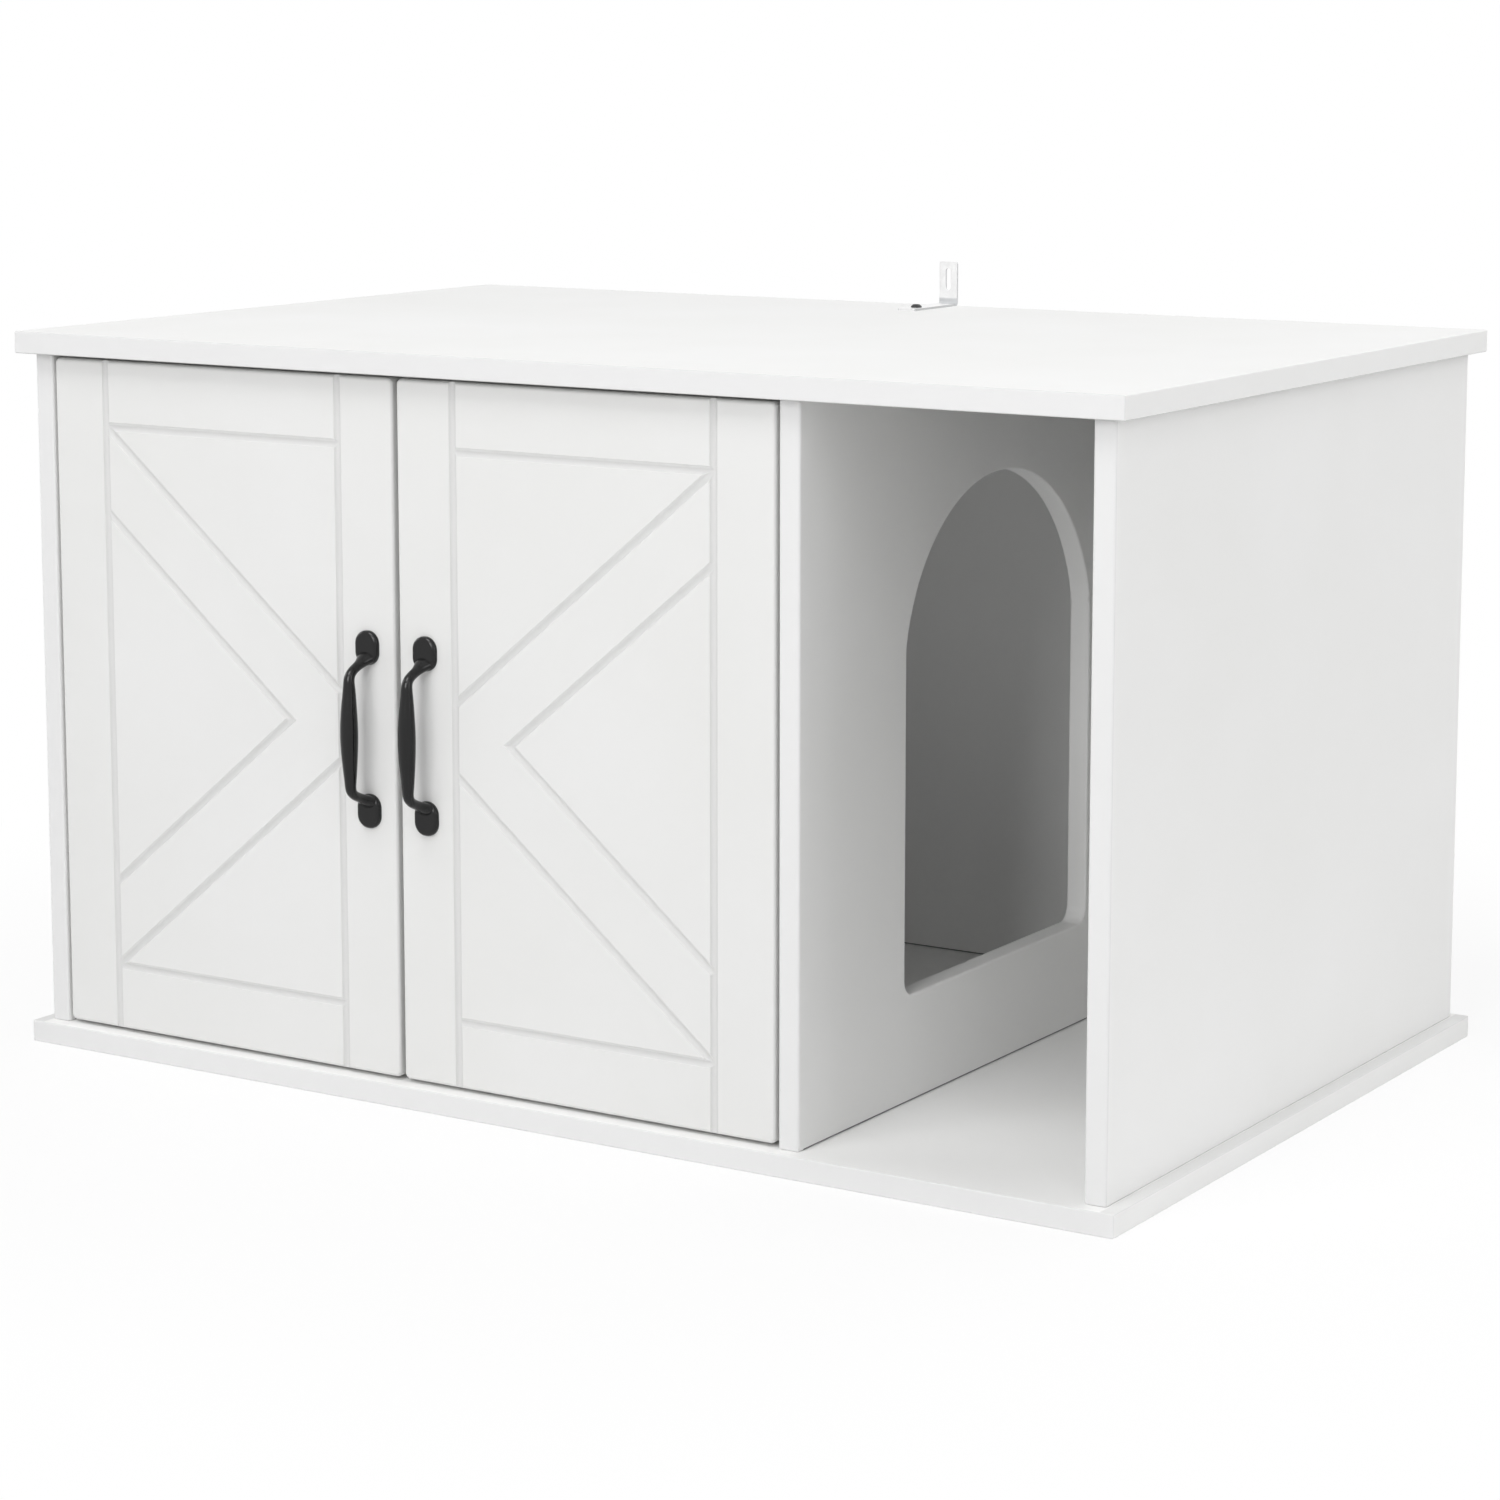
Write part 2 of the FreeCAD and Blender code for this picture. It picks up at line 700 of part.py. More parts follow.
def make_case():
    """The six panels, with the bores of their fixings."""
    top = make_slab("top_panel", "roof")
    base = make_slab("base_panel", "0")
    left = finish_upright(*start_upright("left_side_panel", "-side_outer", "back - front"))
    right = finish_upright(*start_upright("right_side_panel", "side_inner", "back - front"))
    divider = make_divider()
    rear = make_back()

    for body, middle in zip((left, right, divider), UPRIGHTS):
        drill_upright(body, middle)
    drill_cams(left, "+X", "-side_inner")
    drill_cams(right, "-X", "side_inner")
    drill_cams(divider, "-X", "divider_left")
    drill_hinge_plates(left, "+X", "-side_inner")
    drill_hinge_plates(divider, "-X", "divider_left")

    upright_fixings = [(x, row) for x in UPRIGHTS for row in FIXING_ROWS]
    upright_dowels = [(x, row) for x in UPRIGHTS for row in DOWEL_ROWS]
    back_fixings = [(x, "back_middle") for x in BACK_COLUMNS]
    dowel_radius = "dowel_radius + fixing_clearance"
    face_depth = "dowel_face_depth + end_clearance"
    end_depth = "dowel_end_depth + end_clearance"

    bolt_radius = "bolt_thread_radius + fixing_clearance"
    drill(top, "-Z", "roof", upright_fixings, bolt_radius, "bolt_thread_length + end_clearance")
    drill(top, "-Z", "roof", upright_dowels + back_fixings, dowel_radius, face_depth)
    catch_spots = [(f"meeting {sign} catch_screw_half", "catch_middle") for sign in "+-"]
    catch_bite = "small_screw_length - catch_ear_thick + end_clearance"
    drill(top, "-Z", "roof", catch_spots, "small_screw_radius + fixing_clearance", catch_bite)
    bracket_bite = "bracket_screw_length - bracket_thick + end_clearance"
    bracket_radius = "bracket_screw_radius + fixing_clearance"
    drill(top, "+Z", "case_height", [("0", "bracket_screw_y")], bracket_radius, bracket_bite)

    drill(base, "+Z", "floor_top", upright_dowels, dowel_radius, face_depth)
    drill_screw_heads(base, "-Z", "0", upright_fixings + back_fixings)

    divider_spots = [("divider_middle", row) for row in BACK_ROWS]
    drill(rear, "+Z", "roof", back_fixings, dowel_radius, end_depth)
    drill(rear, "-Z", "floor_top", back_fixings, *SCREW_BITE)
    drill_screw_heads(rear, "+Y", "back", divider_spots)
    drill(divider, "+Y", "back_inner", divider_spots, *SCREW_BITE)
    side_spots = [("back_middle", row) for row in BACK_ROWS]
    sides = ((left, "+X", "-X", "-side_inner"), (right, "-X", "+X", "side_inner"))
    for body, inward, outward, level in sides:
        drill(body, inward, level, side_spots, dowel_radius, face_depth)
        drill(rear, outward, level, side_spots, dowel_radius, end_depth)


def make_case_fixings():
    """Cam bolts, cam discs and their covers, dowels and case screws."""
    neck = "bolt_head_length - cam_setback"
    bolt = turned(
        "cam_bolt",
        [
            ("0", "bolt_thread_length"),
            ("bolt_thread_radius", "bolt_thread_length"),
            ("bolt_thread_radius", "0"),
            ("bolt_shank_radius", "0"),
            ("bolt_shank_radius", neck),
            ("bolt_head_radius", neck),
            ("bolt_head_radius", "-cam_setback"),
            ("0", "-cam_setback"),
        ],
    )
    group("cam_bolts", bolt, [(x, row, "roof", UP_DEGREES) for x in UPRIGHTS for row in FIXING_ROWS])

    profile = [("0", "0"), ("cam_radius", "0"), ("cam_radius", "cam_height"), ("0", "cam_height")]
    disc = turned("cam_disc", profile)
    sketch = sketch_on(disc, "X")
    circle(sketch, "0", "board / 2", "bolt_head_radius + fixing_clearance")
    pocket(disc, sketch, side="Symmetric")
    sketch = sketch_on(disc, "Z")
    cross(sketch, "cam_slot_length / 2", "cam_slot_width / 2")
    pocket(disc, sketch, "cam_slot_depth", back=True)
    sides = (("-side_inner", LEFT_DEGREES), ("side_inner", RIGHT_DEGREES))
    cam_faces = (*sides, ("divider_left", RIGHT_DEGREES))
    cam_spots = [(face, row, "cam_z", tip) for face, tip in cam_faces for row in FIXING_ROWS]
    group("cam_discs", disc, cam_spots)

    cover = turned(
        "cam_cover",
        [
            ("0", "0"),
            ("cam_cover_radius", "0"),
            ("cam_cover_radius", "cam_cover_edge - cam_cover_thick"),
            ("cam_cover_radius - cam_cover_edge", "-cam_cover_thick"),
            ("0", "-cam_cover_thick"),
        ],
    )
    group("cam_covers", cover, cam_spots)

    slim = "dowel_radius - dowel_chamfer"
    dowel = turned(
        "dowel",
        [
            ("0", "-dowel_end_depth"),
            (slim, "-dowel_end_depth"),
            ("dowel_radius", "dowel_chamfer - dowel_end_depth"),
            ("dowel_radius", "dowel_face_depth - dowel_chamfer"),
            (slim, "dowel_face_depth"),
            ("0", "dowel_face_depth"),
        ],
    )
    upright_spots = [(x, row) for x in UPRIGHTS for row in DOWEL_ROWS]
    back_spots = [(x, "back_middle") for x in BACK_COLUMNS]
    group("top_dowels", dowel, [(x, y, "roof", UP_DEGREES) for x, y in upright_spots + back_spots])
    group("base_dowels", dowel, [(x, y, "floor_top", DOWN_DEGREES) for x, y in upright_spots])
    group("back_dowels", dowel, [(x, "back_middle", row, tip) for x, tip in sides for row in BACK_ROWS])

    case_screw = turned(
        "case_screw",
        [
            ("0", "0"),
            ("case_screw_head_radius", "0"),
            ("case_screw_head_radius", "case_screw_head_length"),
            ("case_screw_shank_radius", "case_screw_head_length"),
            ("case_screw_shank_radius", "case_screw_shank_end"),
            ("case_screw_thread_radius", "case_screw_shank_end"),
            ("case_screw_thread_radius", "case_screw_length"),
            ("0", "case_screw_length"),
        ],
    )
    sketch = sketch_on(case_screw, "Z")
    half = "case_screw_socket / 2"
    right = [("0", "-socket_side"), (half, "-socket_side / 2"), (half, "socket_side / 2")]
    left = [("0", "socket_side"), (f"-{half}", "socket_side / 2"), (f"-{half}", "-socket_side / 2")]
    outline(sketch, right + left)
    pocket(case_screw, sketch, "case_screw_socket_depth", back=True)
    base_spots = [(x, row) for x in UPRIGHTS for row in FIXING_ROWS] + back_spots
    group("base_screws", case_screw, [(x, y, "case_screw_recess", UP_DEGREES) for x, y in base_spots])
    rear_level = "back - case_screw_recess"
    rear_spots = [("divider_middle", rear_level, row, FORWARD_DEGREES) for row in BACK_ROWS]
    group("back_screws", case_screw, rear_spots)


def groove(sketch, across, up, upright):
    """A cove across the door's face, with a rounded lip on each side."""
    profile = [
        ("-lip_across", "0", "groove_lip", 1),
        ("-cove_across", "cove_deep", "groove_radius", -1),
        ("cove_across", "cove_deep", "groove_lip", 1),
        ("lip_across", "0"),
        ("lip_across", "-overrun"),
        ("-lip_across", "-overrun"),
    ]
    corners = []
    for offset, depth, *arc in profile:
        if upright:
            corners.append((f"{across} + {offset}", depth, *arc))
        else:
            mirrored_arc = (arc[0], -arc[1]) if arc else ()
            corners.append((depth, f"{up} + {offset}", *mirrored_arc))
    outline(sketch, corners)


def make_brace_cutter(name, height):
    """A slanting groove that leaves the hinge side's groove at a height, kept in the field's upper half."""
    body = new_body(name, "door_edge", "front", "door_foot")
    sketch = sketch_on(body, "X", "rail_width")
    sketch.AttachmentOffset = FreeCAD.Placement(Vector(), FreeCAD.Rotation(AXES["X"], FIRST_DEGREES))
    bind(sketch, "AttachmentOffset.Rotation.Angle", "atan(brace_slope)")
    bind(sketch, "AttachmentOffset.Base.y", height)
    groove(sketch, "0", "0", upright=False)
    pad(body, sketch, "2 * door_height", side="Symmetric")
    field = doc.addObject("Part::Box", f"{name}_field")
    bind(field, "Length", "field_width")
    bind(field, "Width", "door_thick")
    bind(field, "Height", "field_half_height")
    place(field, "door_edge + rail_width", "front - overrun", "middle_height")
    cutter = doc.addObject("Part::MultiCommon", f"{name}_in_field")
    cutter.Shapes = [body, field]
    return cutter


def make_doors():
    """The left door with its grooves and bores, in a frame at its lower hinge corner, and its twin."""
    body = new_body("door_slab", "door_edge", "front", "door_foot")
    sketch = sketch_on(body, "Y")
    rounded_rectangle(sketch, "0", "0", "door_width", "door_height", "door_corner_round")
    pad(body, sketch, "door_thick", back=True)
    round_edges(body, "door_edge_round", lies_at("Y", "0"))

    sketch = sketch_on(body, "Z")
    groove(sketch, "rail_width", "0", upright=True)
    groove(sketch, "door_width - rail_width", "0", upright=True)
    pocket(body, sketch, back=True)

    sketch = sketch_on(body, "X", "rail_width")
    groove(sketch, "0", "rail_width", upright=False)
    groove(sketch, "0", "door_height - rail_width", upright=False)
    pocket(body, sketch, "field_width", back=True)

    cups = [("hinge_x", height) for height in HINGE_HEIGHTS]
    drill(body, "+Y", "door_back", cups, "cup_radius + fixing_clearance", "cup_depth + end_clearance")
    cup_screws = cup_screw_spots(HINGE_HEIGHTS)
    bite = "small_screw_length - flange_thick + end_clearance"
    drill(body, "+Y", "door_back", cup_screws, "small_screw_radius + fixing_clearance", bite)
    drill(body, "+Y", "door_back", HANDLE_SPOTS, "handle_screw_radius + fixing_clearance")
    bite = "small_screw_length - strike_thick + end_clearance"
    drill(body, "+Y", "door_back", [STRIKE_SPOT], "small_screw_radius + fixing_clearance", bite)

    outer = make_brace_cutter("outer_brace", "door_height - rail_width")
    inner = make_brace_cutter("inner_brace", "door_height - rail_width - brace_drop")
    braces = doc.addObject("Part::MultiFuse", "brace_grooves")
    lower = [twin("lower_brace", item, "Z", "middle_height") for item in (outer, inner)]
    braces.Shapes = [outer, inner, *lower]
    door = doc.addObject("Part::Cut", "left_door")
    door.Base = body
    door.Tool = braces
    keep("left_door", door)
    mirrored("right_door", door, "X", "meeting")


def cup_screw_spots(heights):
    x = "hinge_x + cup_screw_offset"
    return [(x, f"{height} {sign} cup_screw_half") for height in heights for sign in "+-"]


def make_handles():
    """Bow handles: two oval feet joined by a bow that swells to its grip."""
    body = keep("left_handle", new_body("left_handle", "door_edge + handle_x", "front", "middle_height"))
    half = "handle_foot_width / 2"
    inner_end = "handle_length / 2 - handle_foot_length"
    sketch = sketch_on(body, "Y")
    rounded_rectangle(sketch, f"-{half}", inner_end, half, "handle_length / 2", "handle_foot_corner")
    rounded_rectangle(sketch, f"-{half}", "-handle_length / 2", half, f"-({inner_end})", "handle_foot_corner")
    pad(body, sketch, "handle_foot_thick")
    round_edges(body, "handle_foot_edge", lies_at("Y", "-handle_foot_thick"))

    upper_half = BOW_SHARES[:-1]
    lower_half = [(-height, *shares, FULL_DEGREES - turn) for height, *shares, turn in upper_half[::-1]]
    sections = []
    for height_share, reach_share, wide_share, thick_share, turn in [*BOW_SHARES, *lower_half]:
        sketch = sketch_on(body, "Z", f"{height_share} * handle_screw_half")
        sketch.AttachmentOffset = FreeCAD.Placement(Vector(), FreeCAD.Rotation(AXES["X"], turn))
        bind(sketch, "AttachmentOffset.Base.y", f"-{reach_share} * handle_reach")
        oval(sketch, f"{wide_share} * grip_radius", f"{thick_share} * grip_radius")
        sections.append(sketch)
    bow = body.newObject("PartDesign::AdditiveLoft", "left_handle_bow")
    bow.Profile = sections[0]
    bow.Sections = sections[1:]
    bite = "handle_screw_bite + end_clearance"
    drill(body, "+Y", "front", HANDLE_SPOTS, "handle_screw_radius + fixing_clearance", bite)
    mirrored("right_handle", body, "X", "meeting")

    length = "door_thick + handle_screw_bite"
    head = ("handle_screw_head_radius", "handle_screw_head_height")
    master = screw("handle_screw", *head, "handle_screw_radius", length)
    spots = [(x, "door_back", z, FORWARD_DEGREES) for x, z in HANDLE_SPOTS]
    mirrored("right_handle_screws", group("left_handle_screws", master, spots), "X", "meeting")


def make_hinge_cup(label):
    """The cup that sits in the door, with its screwed flange."""
    body = keep(label, new_body(label, "hinge_x", "door_back", "hinge_z"))
    sketch = sketch_on(body, "Y")
    circle(sketch, "0", "0", "cup_radius")
    pad(body, sketch, "cup_depth")
    sketch = sketch_on(body, "Y")
    across = "flange_width / 2"
    up = "flange_length / 2"
    rounded_rectangle(sketch, f"-{across}", f"-{up}", across, up, "flange_corner")
    pad(body, sketch, "flange_thick", back=True)
    sketch = sketch_on(body, "Y")
    circle(sketch, "0", "0", "cup_radius + cup_rim")
    pad(body, sketch, "flange_thick", back=True)
    hollow_depth = "flange_thick + cup_depth - cup_wall"
    flange_face = "door_back + flange_thick"
    drill(body, "+Y", flange_face, [("hinge_x", "hinge_z")], "cup_radius - cup_wall", hollow_depth)
    spots = cup_screw_spots(("hinge_z",))
    drill(body, "+Y", flange_face, spots, "small_screw_radius + fixing_clearance", "flange_thick")
    sketch = sketch_on(body, "Z")
    circle(sketch, "0", "-pin_depth", "pin_radius + pin_clearance")
    pocket(body, sketch, side="Symmetric")
    return body


def make_hinge_pin(label):
    profile = [("0", "-pin_half"), ("pin_radius", "-pin_half"), ("pin_radius", "pin_half"), ("0", "pin_half")]
    body = keep(label, turned(label, profile))
    place(body, "hinge_x", "hinge_y", "hinge_z")
    return body


def make_hinge_arm(label):
    """The cranked arm: an eye on the pin, a neck out of the cup, and a run back along the case's side."""
    body = keep(label, new_body(label, "hinge_x", "hinge_y", "hinge_z"))
    half = "arm_thick / 2"
    slant = f"{half} * sqrt(2) / 2"
    mitre = f"{half} * (sqrt(2) - 1)"
    end = "arm_back + arm_length"
    sketch = sketch_on(body, "Z")
    outline(
        sketch,
        [
            (slant, f"-{slant}"),
            (f"arm_kick + {half}", f"arm_kick - {mitre}"),
            (f"arm_kick + {half}", f"arm_back + {half}"),
            (f"arm_x + {half}", f"arm_back + {half}"),
            (f"arm_x + {half}", end),
            (f"arm_x - {half}", end),
            (f"arm_x - {half}", f"arm_back - {half}"),
            (f"arm_kick - {half}", f"arm_back - {half}"),
            (f"arm_kick - {half}", f"arm_kick + {mitre}"),
            (f"-{slant}", slant),
        ],
    )
    pad(body, sketch, "arm_width", side="Symmetric")
    sketch = sketch_on(body, "Z")
    circle(sketch, "0", "0", "eye_radius")
    pad(body, sketch, "arm_width", side="Symmetric")
    sketch = sketch_on(body, "Z")
    circle(sketch, "0", "0", "pin_radius + pin_clearance")
    pocket(body, sketch, side="Symmetric")
    spot = [("plate_y", "hinge_z")]
    level = "plate_height + arm_thick - side_inner"
    drill(body, "+X", level, spot, "clamp_screw_radius + fixing_clearance", "arm_thick")
    return body


def make_hinge_plate(label):
    """The mounting plate on the case's side: a wing with two screws and a raised boss for the arm."""
    body = keep(label, new_body(label, "-side_inner", "plate_y", "hinge_z"))
    sketch = sketch_on(body, "X")
    across = "wing_width / 2"
    up = "wing_length / 2"
    rounded_rectangle(sketch, f"-{across}", f"-{up}", across, up, "wing_corner")
    pad(body, sketch, "wing_thick")
    sketch = sketch_on(body, "X")
    rectangle(sketch, "-boss_length / 2", "-boss_width / 2", "boss_length / 2", "boss_width / 2")
    pad(body, sketch, "plate_height")
    wing_face = "wing_thick - side_inner"
    spots = [("plate_y", f"hinge_z {sign} plate_screw_half") for sign in "+-"]
    drill(body, "+X", wing_face, spots, "small_screw_radius + fixing_clearance", "wing_thick")
    bite = "clamp_screw_bite + end_clearance"
    spot = [("plate_y", "hinge_z")]
    drill(body, "+X", "plate_height - side_inner", spot, "clamp_screw_radius + fixing_clearance", bite)
    return body


def make_hinges(small_screw):
    """Four concealed hinges, each a cup, a pin, an arm and a plate, with their screws."""
    makers = {"cup": make_hinge_cup, "pin": make_hinge_pin, "arm": make_hinge_arm, "plate": make_hinge_plate}
    for piece, maker in makers.items():
        upper = maker(f"left_upper_hinge_{piece}")
        lower = mirrored(f"left_lower_hinge_{piece}", upper, "Z", "middle_height")
        mirrored(f"right_upper_hinge_{piece}", upper, "X", "meeting")
        mirrored(f"right_lower_hinge_{piece}", lower, "X", "meeting")

    flange_face = "door_back + flange_thick"
    cup_screws = [(x, flange_face, z, FORWARD_DEGREES) for x, z in cup_screw_spots(HINGE_HEIGHTS)]
    mirrored("right_cup_screws", group("left_cup_screws", small_screw, cup_screws), "X", "meeting")

    faces = (("wing_thick - side_inner", LEFT_DEGREES), ("divider_left - wing_thick", RIGHT_DEGREES))
    plate_screws = [
        (x, "plate_y", f"{height} {sign} plate_screw_half", tip)
        for x, tip in faces
        for height in HINGE_HEIGHTS
        for sign in "+-"
    ]
    group("hinge_plate_screws", small_screw, plate_screws)

    length = "arm_thick + clamp_screw_bite"
    head = ("clamp_screw_head_radius", "clamp_screw_head_height")
    clamp_screw = screw("clamp_screw", *head, "clamp_screw_radius", length)
    stack = "plate_height + arm_thick"
    faces = ((f"{stack} - side_inner", LEFT_DEGREES), (f"divider_left - ({stack})", RIGHT_DEGREES))
    clamp_spots = [(x, "plate_y", height, tip) for x, tip in faces for height in HINGE_HEIGHTS]
    group("hinge_clamp_screws", clamp_screw, clamp_spots)


def make_catch(small_screw):
    """A double magnetic catch under the top panel, and a strike plate on each door."""
    body = keep("catch_housing", new_body("catch_housing", "meeting", "catch_front", "roof"))
    sketch = sketch_on(body, "Z")
    rectangle(sketch, "-catch_width / 2", "0", "catch_width / 2", "catch_depth")
    pad(body, sketch, "catch_height", back=True)
    sketch = sketch_on(body, "Z")
    reach = "catch_width / 2 + catch_ear_width"
    rectangle(sketch, f"-({reach})", "0", reach, "catch_depth")
    pad(body, sketch, "catch_ear_thick", back=True)
    sketch = sketch_on(body, "Y")
    half_width = "magnet_width / 2 + fixing_clearance"
    half_height = "magnet_height / 2 + fixing_clearance"
    for sign in "-+":
        middle = f"{sign}magnet_half"
        low = f"-magnet_drop - ({half_height})"
        high = f"{half_height} - magnet_drop"
        rectangle(sketch, f"{middle} - ({half_width})", low, f"{middle} + {half_width}", high)
    pocket(body, sketch, "magnet_depth")
    spots = [(f"meeting {sign} catch_screw_half", "catch_middle") for sign in "+-"]
    ear_face = "roof - catch_ear_thick"
    drill(body, "-Z", ear_face, spots, "small_screw_radius + fixing_clearance", "catch_ear_thick")
    group("catch_screws", small_screw, [(x, y, ear_face, UP_DEGREES) for x, y in spots])

    magnet = doc.addObject("Part::Box", "magnet")
    bind(magnet, "Length", "magnet_width")
    bind(magnet, "Width", "magnet_depth")
    bind(magnet, "Height", "magnet_height")
    corners = [f"meeting {sign} magnet_half - magnet_width / 2" for sign in "+-"]
    low = "magnet_z - magnet_height / 2"
    group("catch_magnets", magnet, [(x, "catch_front", low, UP_DEGREES) for x in corners])

    strike_x, strike_z = STRIKE_SPOT
    strike = keep("left_strike_plate", new_body("left_strike_plate", strike_x, "door_back", "magnet_z"))
    sketch = sketch_on(strike, "Y")
    half = "strike_width / 2"
    rounded_rectangle(sketch, f"-{half}", "-strike_drop", half, "strike_rise", "strike_corner")
    pad(strike, sketch, "strike_thick", back=True)
    strike_face = "door_back + strike_thick"
    drill(strike, "+Y", strike_face, [STRIKE_SPOT], "small_screw_radius + fixing_clearance", "strike_thick")
    mirrored("right_strike_plate", strike, "X", "meeting")
    strike_spot = (strike_x, strike_face, strike_z, FORWARD_DEGREES)
    strike_screw = group("left_strike_screw", small_screw, [strike_spot])
    mirrored("right_strike_screw", strike_screw, "X", "meeting")


def make_wall_bracket():
    """The slotted angle bracket on the top's rear edge and the screw that holds it."""
    body = keep("wall_bracket", new_body("wall_bracket", "0", "case_depth / 2", "case_height"))
    sketch = sketch_on(body, "X")
    outline(
        sketch,
        [
            ("-bracket_run", "0"),
            ("-bracket_bend", "0", "bracket_bend", 1),
            ("0", "bracket_bend"),
            ("0", "bracket_rise"),
            ("-bracket_thick", "bracket_rise"),
            ("-bracket_thick", "bracket_bend", "bracket_bend - bracket_thick", -1),
            ("-bracket_bend", "bracket_thick"),
            ("-bracket_run", "bracket_thick"),
        ],
    )
    pad(body, sketch, "bracket_width", side="Symmetric")
    at_top = lies_at("Z", "bracket_rise")
    at_tip = lies_at("Y", "-bracket_run")

    def on_corner(edge):
        box = edge.BoundBox
        return (at_top(edge) or at_tip(edge)) and box.XLength < SAME_PLACE

    round_edges(body, "bracket_end_round", on_corner)

    slot_z = "case_height + bracket_slot_height"
    ends = [("0", f"{slot_z} {sign} bracket_slot_half") for sign in "+-"]
    drill(body, "+Y", "case_depth / 2", ends, "bracket_slot_width / 2", "bracket_thick")
    sketch = sketch_on(body, "Y")
    half = "bracket_slot_width / 2"
    low = "bracket_slot_height - bracket_slot_half"
    high = "bracket_slot_height + bracket_slot_half"
    rectangle(sketch, f"-{half}", low, half, high)
    pocket(body, sketch, "bracket_thick", back=True)
    screw_face = "case_height + bracket_thick"
    spot = ("0", "bracket_screw_y")
    drill(body, "+Z", screw_face, [spot], "bracket_screw_radius + fixing_clearance", "bracket_thick")

    head = ("bracket_screw_head_radius", "bracket_screw_head_height")
    master = screw("bracket_screw", *head, "bracket_screw_radius", "bracket_screw_length")
    group("wall_bracket_screw", master, [(*spot, screw_face, DOWN_DEGREES)])


def check():
    """Stop at anything that failed: a bad object, a cut that removes nothing, or a bad shape."""
    for item in doc.Objects:
        if {"Invalid", "Error"} & set(item.State):
            raise RuntimeError(f"{item.Label} failed: {item.State}")
    for feature in cuts:
        if feature.Shape.Volume >= feature.BaseFeature.Shape.Volume:
            raise RuntimeError(f"{feature.Label} cuts nothing")
    for label, item in nodes.items():
        shape = item.Shape
        if shape.isNull() or not shape.isValid() or not shape.Solids:
            raise RuntimeError(f"{label} has no valid solid")


def write():
    os.makedirs("parts", exist_ok=True)
    for label, item in nodes.items():
        item.Shape.exportStep(f"parts/{label}.step")


fill_sheet()
make_case()
make_case_fixings()
make_doors()
make_handles()
small_head = ("small_screw_head_radius", "small_screw_head_height")
small_screw = screw("small_screw", *small_head, "small_screw_radius", "small_screw_length")
make_hinges(small_screw)
make_catch(small_screw)
make_wall_bracket()
doc.recompute()
check()
write()
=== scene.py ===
"""Looks of the cat house: its finishes, soft studio light and the photograph's camera."""

import json
import math

import bpy
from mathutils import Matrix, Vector


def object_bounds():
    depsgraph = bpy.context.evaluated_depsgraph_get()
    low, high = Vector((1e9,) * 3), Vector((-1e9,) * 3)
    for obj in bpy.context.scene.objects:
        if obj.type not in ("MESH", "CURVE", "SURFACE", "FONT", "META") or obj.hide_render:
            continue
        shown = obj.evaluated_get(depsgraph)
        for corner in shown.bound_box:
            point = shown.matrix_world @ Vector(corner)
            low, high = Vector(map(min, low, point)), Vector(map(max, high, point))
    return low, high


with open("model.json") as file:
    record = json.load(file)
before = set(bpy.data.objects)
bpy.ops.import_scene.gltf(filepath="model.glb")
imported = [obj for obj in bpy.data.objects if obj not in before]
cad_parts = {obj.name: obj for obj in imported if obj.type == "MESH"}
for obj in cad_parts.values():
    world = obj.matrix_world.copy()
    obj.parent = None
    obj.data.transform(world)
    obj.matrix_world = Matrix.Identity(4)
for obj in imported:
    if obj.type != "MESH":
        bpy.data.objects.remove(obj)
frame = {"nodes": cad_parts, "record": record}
cad_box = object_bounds()
nodes = frame["nodes"]

# The photograph's camera: place in metres, turn about Z and tilt below the horizon in degrees
CAMERA_PLACE = Vector((1.4378, -2.2809, 0.7177))
CAMERA_TURN = 32.26
CAMERA_TILT = 8.54
CAMERA_SHIFT = -0.1
FOCAL_PIXELS = 3929.5
FRAME_PIXELS = 1500
SENSOR_WIDTH_MM = 36

# Level of the sky on the object, where 1 is plain white
SKY_STRENGTH = 0.20

# Soft lamps, all at one distance in metres: azimuth from the front and height in degrees, breadth in
# metres, and the light that each throws on a white surface that faces it, where 1 is plain white
LAMP_DISTANCE = 5.0
LAMPS = {
    "front_key": (8, 22, 2.1, 0.37),
    "front_high": (-4, 60, 2.1, 0.35),
    "front_right": (42, 40, 2.1, 0.09),
    "right_fill": (85, 15, 2.1, 0.11),
    "right_rear": (120, 30, 2.1, 0.15),
    "left_fill": (-85, 20, 2.1, 0.20),
    "rear_fill": (160, 45, 2.5, 0.15),
    "rear_low": (180, 10, 2.1, 0.20),
}

# A weak lamp inside the chamber, for the light that its white boards pass on, in metres and watts
CHAMBER_LAMP_PLACE = Vector((0.02, -0.20, 0.34))
CHAMBER_LAMP_AIM = Vector((0.0, 0.25, 0.52))
CHAMBER_LAMP_BREADTH = 0.16
CHAMBER_LAMP_POWER = 0.14

# The floor's half width in metres. It looks plain white beyond the outer distance, also in metres.
# Within the inner one it is plain white by the given share, and shows its paint and shadow by the rest.
FLOOR_HALF = 60
FLOOR_INNER = 0.5
FLOOR_OUTER = 1.0
FLOOR_WHITE_SHARE = 0.85
FLOOR_PAINT = (0.9, 0.9, 0.9, 1)
WHITE = (1, 1, 1, 1)

# Ways along the object's axes
DOWN = (0, 0, -1)
FRONT = (0, -1, 0)
LEFT = (-1, 0, 0)
RIGHT = (1, 0, 0)
UP = (0, 0, 1)

# The part of a noise's values that is spread over a finish's whole range
NOISE_SPAN = (0.3, 0.7)

# The share of a face's normal along a way over which the face comes to count as facing it
FACING_SPAN = (0.15, 0.45)

